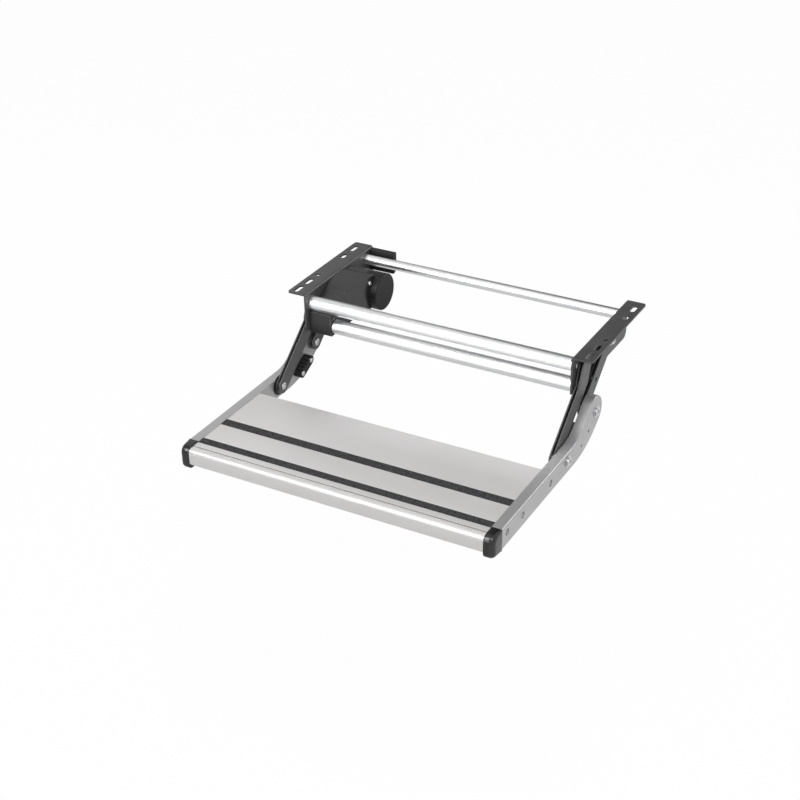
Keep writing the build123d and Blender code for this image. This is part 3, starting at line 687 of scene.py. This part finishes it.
def can_paint():
    """The motor's black paint, with little shine."""
    finish = Finish("can_paint", (0.012, 0.012, 0.013), roughness=0.30, shine=0.2)
    clouds = finish.noise(scale=26, detail=3)
    finish.colours(clouds, darker=(0.009, 0.009, 0.010), paler=(0.016, 0.016, 0.017))
    finish.gloss(clouds, smooth=0.28, rough=0.40)
    finish.bump(finish.noise(scale=800, detail=2), height=0.00003, strength=0.4)
    return finish.material


can_low, can_high = node_box("motor_can")
can_radius = (can_high[1] - can_low[1]) / 2
can_bore = can_radius - CAN_WALL
can_floor = can_high[0] - CAN_END
can_rim = [(can_high[0] - CAN_EDGE + CAN_EDGE * math.sin(a), can_radius - CAN_EDGE + CAN_EDGE * math.cos(a))
           for a in QUARTER_TURN]
can_outside = [(can_low[0], can_radius)] + can_rim + [(can_high[0], 0.0)]
can_inside = [(can_floor, 0.0), (can_floor, can_bore), (can_low[0], can_bore), (can_low[0], can_radius)]
points, faces = turned(node_axis("motor_can"), can_outside + can_inside, ROUND_SEGMENTS)
can_piece = mesh_piece("motor_can_drawn", points, faces, "motor_can", angle=40)
can_piece.data.materials[0] = can_paint()
print("motor can diameter", round(2 * can_radius, 2))

# %% [markdown]
# One bright screw sits on the motor's shoulder, the only light dot on the black case. It is a socket head
# that ends at its seat, since its shank runs inside the casting.

# %% Motor screw
screw_low, screw_high = node_box("motor_shoulder_screw")
shoulder_head = socket_head(screw_high[0], screw_low[0], radius=3.8, socket=1.75, dome=1.0)
turned_group("motor_shoulder_screw", [node_axis("motor_shoulder_screw")],
             shoulder_head + [(screw_low[0], 0.0)], both=False)

# %% [markdown]
# The tread is one aluminium extrusion, and the end caps are mouldings of a like shape, so both are an
# outline carried along X. An outline is written as corners with a radius each. A Bevel modifier could
# round them, but not each by its own radius, so a helper turns every corner into a true arc.

# %% Outlines with rounded corners
NEARLY_NOUGHT = 1e-6


def rounded(corners, steps=6):
    """Closed outline of (y, z, radius) corners. Each corner becomes an arc that touches both its sides: its
    ends lie the radius over the tangent of half the corner's angle away, and its centre the radius over
    the sine of that half angle."""
    table = np.array(corners, float)
    place, radius = table[:, :2], table[:, 2]
    back = np.roll(place, 1, axis=0) - place
    ahead = np.roll(place, -1, axis=0) - place
    back /= np.linalg.norm(back, axis=1)[:, None]
    ahead /= np.linalg.norm(ahead, axis=1)[:, None]
    half = np.arccos(np.clip((back * ahead).sum(1), -1, 1)) / 2
    reach = radius / np.tan(half)
    middle = (back + ahead) / np.linalg.norm(back + ahead, axis=1)[:, None]
    centre = place + middle * (radius / np.sin(half))[:, None]
    first = place + back * reach[:, None] - centre
    last = place + ahead * reach[:, None] - centre
    share = np.linspace(0, 1, steps)[None, :, None]
    sweep = (np.pi - 2 * half)[:, None, None]
    safe = np.where(np.sin(sweep) < NEARLY_NOUGHT, 1, np.sin(sweep))
    arc = (np.sin((1 - share) * sweep) * first[:, None] + np.sin(share * sweep) * last[:, None]) / safe
    points = (centre[:, None] + arc).reshape(-1, 2)
    keep = np.linalg.norm(points - np.roll(points, 1, axis=0), axis=1) > NEARLY_NOUGHT
    return points[keep]


def carried(outline, stations):
    """Points and faces of an outline carried along X; a station is (x, inset), and the inset shrinks the
    outline along its own inward normal. Both ends are closed with one flat face."""
    following = np.roll(outline, -1, axis=0)
    step = following - np.roll(outline, 1, axis=0)
    inward = np.stack([-step[:, 1], step[:, 0]], axis=1) / np.linalg.norm(step, axis=1)[:, None]
    area = (outline[:, 0] * following[:, 1] - following[:, 0] * outline[:, 1]).sum()
    inward *= np.sign(area)
    table = np.array(stations, float)
    flat = outline[None] + table[:, 1][:, None, None] * inward[None]
    x = np.repeat(table[:, 0][:, None], len(outline), axis=1)
    points = np.concatenate([x[..., None], flat], axis=-1).reshape(-1, 3)
    count = len(outline)
    last = (len(table) - 1) * count
    ends = [list(range(count)), list(range(last, last + count))]
    return points, grid_quads(len(table), count) + ends


tile = rounded([(0, 0, 2), (9, 0, 2), (9, 9, 2), (0, 9, 2)])
print("a square with round corners has", len(tile), "points")

# %% [markdown]
# The tread's outline has a flat top with two shallow beds for the grip, two fine grooves behind a rounded
# nose, and thin walls that hang below. It runs from the rear edge forwards over the top, round the nose,
# and back along the underside. Short insets at both ends break the edges that the saw leaves.

# %% The tread's extrusion
SKIN = 3.0
WALL = 2.5
BED_DEPTH = 0.8
BED_LIP = 0.15
BED_CORNER = 0.1
NOSE_GROOVES = (-401.5, -405.5)
GROOVE_HALF = 0.7
NOSE_TOP_ROUND = 8.6
NOSE_LOW_ROUND = 4.0
NOSE_INNER_ROUND = 6.0
NOSE_LIP = 12.0
EDGE_ROUND = 0.8
REAR_ROOT = 0.4
WALL_ROOT = 1.0
WALL_FOOT = 0.5
SAW_BREAK = 0.1
END_ROOM = 20.0
TREAD_RINGS = 24
tread_low, tread_high = node_box("tread")
tread_rear, tread_top = tread_high[1], tread_high[2]
nose_front, nose_bottom = tread_low[1], tread_low[2]
ceiling = tread_top - SKIN
lip_top = nose_bottom + SKIN
lip_foot = PLATE_SCREW_PLACES[0][1]


def channel(rear, front):
    """Corners of a shallow channel in the top, from its rear edge to its front edge."""
    floor = tread_top - BED_DEPTH
    return [(rear, tread_top, BED_LIP), (rear, floor, BED_CORNER), (front, floor, BED_CORNER),
            (front, tread_top, BED_LIP)]


def hanging_wall(line):
    """Corners of a wall below the top skin, taken from front to rear."""
    near, far = line - WALL / 2, line + WALL / 2
    return [(near, ceiling, WALL_ROOT), (near, nose_bottom, WALL_FOOT), (far, nose_bottom, WALL_FOOT),
            (far, ceiling, WALL_ROOT)]


corners = [(tread_rear, tread_top, EDGE_ROUND)]
for strip in ("grip_strip_rear", "grip_strip_front"):
    strip_low, strip_high = node_box(strip)
    corners += channel(strip_high[1], strip_low[1])
for groove in NOSE_GROOVES:
    corners += channel(groove + GROOVE_HALF, groove - GROOVE_HALF)
corners += [(nose_front, tread_top, NOSE_TOP_ROUND), (nose_front, nose_bottom, NOSE_LOW_ROUND)]
corners += [(nose_front + NOSE_LIP, nose_bottom, EDGE_ROUND), (nose_front + NOSE_LIP, lip_top, EDGE_ROUND)]
corners += [(nose_front + SKIN, lip_top, WALL_ROOT), (nose_front + SKIN, ceiling, NOSE_INNER_ROUND)]
for place in reversed(PLATE_SCREW_PLACES):
    corners += hanging_wall(place[0])
corners += [(tread_rear - WALL, ceiling, REAR_ROOT), (tread_rear - WALL, lip_foot, WALL_FOOT)]
corners += [(tread_rear, lip_foot, WALL_FOOT)]
tread_outline = rounded(corners)

x_low, x_high = tread_low[0], tread_high[0]
stations = [(x_low, SAW_BREAK), (x_low + SAW_BREAK, 0)]
stations += [(x, 0) for x in np.linspace(x_low + END_ROOM, x_high - END_ROOM, TREAD_RINGS)]
stations += [(x_high - SAW_BREAK, 0), (x_high, SAW_BREAK)]
tread_points, tread_faces = carried(tread_outline, stations)
tread_piece = mesh_piece("tread_extrusion", tread_points, tread_faces, "tread", angle=28)
print("tread outline", len(tread_outline), "points, length", round(x_high - x_low, 2))

# %% [markdown]
# The rear groove reads as one fine dark line. The groove is real geometry, yet narrower than a pixel, so
# light alone wouldn't darken it enough, and its shade is painted instead. Its faces are found by their
# centres and take a second material of painted shade, which is surer than cutting the outline into pieces.

# %% Painted shade in the dark groove
MARGIN = 0.1


def groove_shadow():
    """Painted shade for the groove: dark and matt, with a faint mottle."""
    finish = Finish("groove_painted_shade", (0.10, 0.10, 0.10), roughness=0.8, shine=0.1)
    finish.colours(finish.noise(scale=300, detail=3), darker=(0.08, 0.08, 0.08), paler=(0.14, 0.14, 0.14))
    return finish.material


# The second material is painted shade: it darkens the faces of the rear groove, where the recess lies in
# shade.
tread_piece.data.materials.append(groove_shadow())
centres = np.empty(3 * len(tread_piece.data.polygons))
tread_piece.data.polygons.foreach_get("center", centres)
centres = centres.reshape(-1, 3) / MM
depth = tread_top - centres[:, 2]
sunk = (depth > MARGIN) & (depth < BED_DEPTH + 2 * MARGIN)
reach = np.abs(centres[:, 1] - NOSE_GROOVES[0])
in_groove = sunk & (reach < GROOVE_HALF + MARGIN / 2)
tread_piece.data.polygons.foreach_set("material_index", in_groove.astype(np.int32))
print("dark groove", int(in_groove.sum()), "faces")

# %% [markdown]
# Below the skin, the side plates' screws bite into round ports that run the tread's whole length. Drawn
# into the outline they would tangle it, so they are plain turned tubes that sit on the hanging walls.

# %% Screw ports under the tread
PORT_BORE = 3.1
PORT_RADIUS = 5.5
port_stations = [(x_low, PORT_BORE), (x_low, PORT_RADIUS), (x_high, PORT_RADIUS), (x_high, PORT_BORE)]
ports = [turned(place, port_stations, segments=32, hollow=True) for place in PLATE_SCREW_PLACES]
port_points, port_faces = join_surfaces(ports)
mesh_piece("tread_screw_ports", port_points, port_faces, "tread")
print("screw ports", len(ports))

# %% [markdown]
# The grip strips are the one rough surface a foot meets. Bump alone looks flat at the strip's edge, so the
# grit is real height: a fine grid whose points are lifted by seeded random grains, lowered towards the
# rim.

# %% Grip strips
GRAIN_PITCH = 0.9
GRAIN_HEIGHT = 0.4
chance = np.random.default_rng(11)


def grip_piece(node):
    """A bed of grit on a skirt: a point's height is the bed's plus the grain height times a random grain,
    squared so that few stand tall, times its distance from the rim in grains, which is one at most."""
    low, high = node_box(node)
    columns = int((high[0] - low[0]) / GRAIN_PITCH)
    rows = int((high[1] - low[1]) / GRAIN_PITCH)
    along_x = np.linspace(low[0], high[0], columns)
    along_y = np.linspace(low[1], high[1], rows)
    x, y = np.meshgrid(along_x, along_y, indexing="ij")
    grain = chance.random(x.shape) ** 2
    rim = np.minimum(y - low[1], high[1] - y) / GRAIN_PITCH
    z = high[2] - GRAIN_HEIGHT + GRAIN_HEIGHT * grain * np.clip(rim, 0, 1)
    top = np.stack([x, y, z], axis=-1).reshape(-1, 3)
    number = np.arange(columns * rows).reshape(columns, rows)
    corners = [number[:-1, :-1], number[1:, :-1], number[1:, 1:], number[:-1, 1:]]
    quads = np.stack(corners, axis=-1).reshape(-1, 4)
    border = np.concatenate([number[:, 0], number[-1, 1:], number[-2::-1, -1], number[0, -2:0:-1]])
    skirt = top[border].copy()
    skirt[:, 2] = low[2]
    under = np.arange(len(border)) + len(top)
    walls = np.stack([border, np.roll(border, -1), np.roll(under, -1), under], axis=-1)
    faces = quads.tolist() + walls.tolist() + [under.tolist()]
    mesh_piece(node + "_grit", np.concatenate([top, skirt]), faces, node, angle=180)
    print(node, columns, "by", rows, "grains")


for node in ("grip_strip_rear", "grip_strip_front"):
    grip_piece(node)

# %% [markdown]
# The end caps are glossy mouldings that close the side plates and hide the raw ends of the nose. The
# outline shrinks along a quarter circle towards the outer face, generously in front, where the cap stands
# free, and tightly at the rear, where it has to meet the plate. So the shape is worked out with both
# radii, and each point mixes the two by how far forward it lies.

# %% End caps
CAP_ROUND_FRONT = 9.0
CAP_ROUND_REAR = 3.0
CAP_LIP = 1.4
CAP_LOW_CORNER = 9.5
CAP_HIGH_CORNER = 13.0
CAP_JOINT = 0.4


def cap_rows(outline, inner, outer, size):
    """Rows of points of an outline carried outwards. It grows along a small quarter circle at the lip, then
    shrinks along one of a given size: the inset is the size times one less the cosine."""
    lip = [(inner + CAP_LIP * (1 - math.cos(a)), CAP_LIP * (1 - math.sin(a))) for a in QUARTER_TURN]
    edge = [(outer - size * (1 - math.sin(a)), size * (1 - math.cos(a))) for a in QUARTER_TURN]
    points, faces = carried(outline, lip + edge)
    return points.reshape(-1, len(outline), 3), faces


def cap_piece(side):
    """A cap mixed from its tight and its generous rounding; the row at the plate keeps its place in y."""
    node = "end_cap_" + side
    low, high = node_box(node)
    plate_front = node_box("side_plate_" + side)[0][1]
    inner, outer = sorted((abs(low[0]), abs(high[0])))
    outline = rounded([(plate_front, low[2], CAP_JOINT), (low[1], low[2], CAP_LOW_CORNER),
                       (low[1], high[2], CAP_HIGH_CORNER), (plate_front, high[2], CAP_JOINT)], steps=14)
    tight, faces = cap_rows(outline, inner, outer, CAP_ROUND_REAR)
    generous, faces = cap_rows(outline, inner, outer, CAP_ROUND_FRONT)
    forward = np.clip((plate_front - outline[:, 0]) / (plate_front - low[1]), 0, 1)[None, :, None]
    rows = tight * (1 - forward) + generous * forward
    at_plate = outline[:, 0] > plate_front - CAP_JOINT - MARGIN
    rows[:, at_plate, 1] = outline[at_plate, 0]
    points = rows.reshape(-1, 3)
    mesh_piece(node + "_moulded", mirrored(points) if side == "left" else points, faces, node, angle=40)
    print(node, "width", round(outer - inner, 2))


for side in ("left", "right"):
    cap_piece(side)

# %% [markdown]
# The camera stands where the photographer stood, found from the perspective of the brackets and the tread:
# two and a half metres away and a little over a metre up, with a 70 mm lens. Its axes are written straight
# into its matrix, because the picture is rolled by a degree, which aiming it at a target would lose.

# %% Camera
CAMERA_PLACE = (1.0549, -2.0639, 1.1475)
CAMERA_AZIMUTH = math.radians(29.41)
CAMERA_ELEVATION = math.radians(29.79)
CAMERA_ROLL = math.radians(-1.044)
camera_data = bpy.data.cameras.new("camera")
camera_data.lens = 69.95
camera_data.sensor_width = 36
camera = bpy.data.objects.new("camera", camera_data)
bpy.context.scene.collection.objects.link(camera)
backward = Vector((math.sin(CAMERA_AZIMUTH) * math.cos(CAMERA_ELEVATION),
                   -math.cos(CAMERA_AZIMUTH) * math.cos(CAMERA_ELEVATION), math.sin(CAMERA_ELEVATION)))
level = Vector((0, 0, 1)).cross(backward).normalized()
upright = backward.cross(level)
right = level * math.cos(CAMERA_ROLL) + upright * math.sin(CAMERA_ROLL)
up = upright * math.cos(CAMERA_ROLL) - level * math.sin(CAMERA_ROLL)
camera.matrix_world = Matrix.Translation(CAMERA_PLACE) @ Matrix((right, up, backward)).transposed().to_4x4()
bpy.context.scene.camera = camera
middle = (cad_low + cad_high) / 2
print("camera", round((Vector(CAMERA_PLACE) - middle).length, 3), "m from the middle of the step")

# %% [markdown]
# A product photograph stands on a white sweep. A bright world alone would wash out every shadow, so the
# world looks white to the camera and in reflections, while the light that it casts on the step is only
# half as strong. The Light Path node tells these rays apart.

# %% World
AMBIENT = 0.5
WHITE = (1, 1, 1, 1)
scene = bpy.context.scene
scene.view_settings.view_transform = "Standard"


def seen_directly(nodes, links):
    """One for camera, glossy and transmission rays, nought for the light that falls on things."""
    path = nodes.new("ShaderNodeLightPath")
    total = path.outputs["Is Camera Ray"]
    for ray in ("Is Glossy Ray", "Is Transmission Ray"):
        node = nodes.new("ShaderNodeMath")
        node.operation = "MAXIMUM"
        links.new(total, node.inputs[0])
        links.new(path.outputs[ray], node.inputs[1])
        total = node.outputs["Value"]
    return total


world = bpy.data.worlds.new("sweep")
world.use_nodes = True
scene.world = world
sky, wires = world.node_tree.nodes, world.node_tree.links
ambient = sky["Background"]
ambient.inputs["Color"].default_value = WHITE
ambient.inputs["Strength"].default_value = AMBIENT
backdrop = sky.new("ShaderNodeBackground")
backdrop.inputs["Color"].default_value = WHITE
backdrop.inputs["Strength"].default_value = 1.0
mix = sky.new("ShaderNodeMixShader")
wires.new(seen_directly(sky, wires), mix.inputs["Fac"])
wires.new(ambient.outputs["Background"], mix.inputs[1])
wires.new(backdrop.outputs["Background"], mix.inputs[2])
wires.new(mix.outputs["Shader"], sky["World Output"].inputs["Surface"])
print("world strength", AMBIENT, "on the step")

# %% [markdown]
# The floor lies well below the step, which hangs in the air in the photograph. It is pale paint mixed with
# mostly plain white glow for the rays that look at it, so it joins the white background and still keeps a
# trace of the step's shadow.

# %% Floor
FLOOR_DROP = 0.35
FLOOR_HALF = 6.0
FLOOR_GLOW = 0.965
floor_level = cad_low.z - FLOOR_DROP
floor_mesh = bpy.data.meshes.new("floor")
floor_mesh.from_pydata([(-FLOOR_HALF, -FLOOR_HALF, floor_level), (FLOOR_HALF, -FLOOR_HALF, floor_level),
                        (FLOOR_HALF, FLOOR_HALF, floor_level), (-FLOOR_HALF, FLOOR_HALF, floor_level)],
                       [], [(0, 1, 2, 3)])
floor = bpy.data.objects.new("floor", floor_mesh)
scene.collection.objects.link(floor)
floor_paint = bpy.data.materials.new("pale_floor")
floor_paint.use_nodes = True
tree, wires = floor_paint.node_tree.nodes, floor_paint.node_tree.links
paint = tree["Principled BSDF"]
paint.inputs["Base Color"].default_value = (0.86, 0.86, 0.86, 1)
paint.inputs["Roughness"].default_value = 0.9
glow = tree.new("ShaderNodeEmission")
glow.inputs["Strength"].default_value = 1.0
share = tree.new("ShaderNodeMath")
share.operation = "MULTIPLY"
share.inputs[1].default_value = FLOOR_GLOW
cover = tree.new("ShaderNodeMixShader")
wires.new(seen_directly(tree, wires), share.inputs[0])
wires.new(share.outputs["Value"], cover.inputs["Fac"])
wires.new(paint.outputs["BSDF"], cover.inputs[1])
wires.new(glow.outputs["Emission"], cover.inputs[2])
wires.new(cover.outputs["Shader"], tree["Material Output"].inputs["Surface"])
floor_mesh.materials.append(floor_paint)
print("floor at", round(floor_level, 3), "m")

# %% [markdown]
# Three large softboxes model the step: a key from the front right, an even light from above, and a low one
# that opens up the nose. The upper one is hidden from glossy rays, because its mirror image on the tread
# would burn out; there the cards of the next cells decide what is seen.

# %% Lamps


def softbox(name, place, size, power):
    """A rectangular lamp of a given size in metres and power in watts that faces the step."""
    data = bpy.data.lights.new(name, "AREA")
    data.shape = "RECTANGLE"
    data.size, data.size_y = size
    data.energy = power
    lamp = bpy.data.objects.new(name, data)
    scene.collection.objects.link(lamp)
    lamp.location = place
    lamp.rotation_euler = (middle - Vector(place)).to_track_quat("-Z", "Y").to_euler()
    print("lamp", name, power, "W")
    return lamp


softbox("key", (1.6, -2.4, 2.4), size=(1.4, 1.4), power=34)
top_lamp = softbox("top", (-0.1, 0.2, 2.6), size=(2.2, 2.2), power=33)
top_lamp.visible_glossy = False
softbox("front", (-0.8, -2.8, 0.5), size=(1.2, 0.9), power=10)

# %% [markdown]
# Polished tubes and caps only look right when they have something to reflect. Photographers hang grey and
# white cards just outside the picture for this. These cards are seen by glossy rays alone, so they cast no
# shadow and light nothing, and the grey of a card can fade along it, which gives a tube its soft dark
# line.

# %% A card for reflections


def across(left, right, foot, head):
    """Corners of a card that is wide along X; foot and head are the (y, z) of its two long edges."""
    return [(left, *foot), (right, *foot), (right, *head), (left, *head)]


def card(name, corners, greys, span=(0.0, 1.0), along=(0, 0, 1), about=None):
    """A flat card whose grey goes smoothly from the first to the second of greys while the distance goes
    through span. The distance is the place's dot product with along, or how far it is from about."""
    mesh = bpy.data.meshes.new(name)
    mesh.from_pydata(corners, [], [(0, 1, 2, 3)])
    piece = bpy.data.objects.new(name, mesh)
    scene.collection.objects.link(piece)
    material = bpy.data.materials.new(name)
    material.use_nodes = True
    nodes, links = material.node_tree.nodes, material.node_tree.links
    place = nodes.new("ShaderNodeTexCoord")
    distance = nodes.new("ShaderNodeVectorMath")
    distance.operation = "DOT_PRODUCT" if about is None else "DISTANCE"
    distance.inputs[1].default_value = along if about is None else about
    fade = nodes.new("ShaderNodeMapRange")
    fade.interpolation_type = "SMOOTHSTEP"
    fade.inputs["From Min"].default_value, fade.inputs["From Max"].default_value = span
    fade.inputs["To Min"].default_value, fade.inputs["To Max"].default_value = greys
    glow = nodes.new("ShaderNodeEmission")
    links.new(place.outputs["Object"], distance.inputs[0])
    links.new(distance.outputs["Value"], fade.inputs["Value"])
    links.new(fade.outputs["Result"], glow.inputs["Color"])
    links.new(glow.outputs["Emission"], nodes["Material Output"].inputs["Surface"])
    mesh.materials.append(material)
    piece.visible_camera = False
    piece.visible_diffuse = False
    piece.visible_shadow = False
    piece.visible_transmission = False
    print("card", name, "greys", greys)


# %% [markdown]
# Three wide cards shape the big surfaces. The one behind is nearly black low on its right and fades to a
# pale grey towards its left and top; the tops of the tubes, the brackets and the tread reflect it. The one
# below gives the tubes a grey underline, and the one beside takes the glare off the left end of the step.

# %% Wide cards
CARD_LIFT = 0.05
card_level = floor_level + CARD_LIFT
BESIDE_X = -2.5
beside_foot = floor_level + 0.1
card("card_behind", across(-4.5, 0.4, (2.6, -0.3), (0.3, 3.4)),
     greys=(0.08, 0.78), span=(1.0, 2.4), along=(-1, 0, 0.45))
card("card_below", across(-2.6, 0.2, (-2.9, card_level), (1.6, card_level)),
     greys=(0.80, 0.62), span=(-1.3, -0.1), along=(0, 1, 0))
card("card_beside", [(BESIDE_X, -5.6, beside_foot), (BESIDE_X, 5.6, beside_foot), (BESIDE_X, 5.6, 5.6),
                     (BESIDE_X, -5.6, 5.6)],
     greys=(0.60, 1.0), span=(4.0, 6.0), about=(BESIDE_X, 0, 0))

# %% [markdown]
# Small cards place single lights. A bright strip above draws the highlight along the nose, one behind
# lights the edges that face up and right, such as the motor can's rim, a dark one on the floor keeps the
# case's side and the motor's end deep, and two very bright ones in front put the glints on the end caps.

# %% Small cards
CAP_CARD_HALF = 0.3
case_level = floor_level + 0.06
card("card_above", across(-3.0, 0.6, (-2.2, 2.05), (-1.8, 2.35)), greys=(5.0, 5.0))
card("card_rim", across(0.9, 2.2, (2.3, 0.7), (2.3, 1.9)),
     greys=(7.0, 1.5), span=(1.4, 1.6), along=(1, 0, 0))
card("card_for_case", across(-0.15, 0.34, (0.40, case_level), (1.20, case_level)),
     greys=(0.20, 0.45), span=(0.4, 1.2), along=(0, 1, 0))
for side, x in (("right", -0.8), ("left", -1.87)):
    card("card_for_cap_" + side, across(x - CAP_CARD_HALF, x + CAP_CARD_HALF, (-2.7, 1.2), (-1.7, 2.25)),
         greys=(9.0, 9.0))
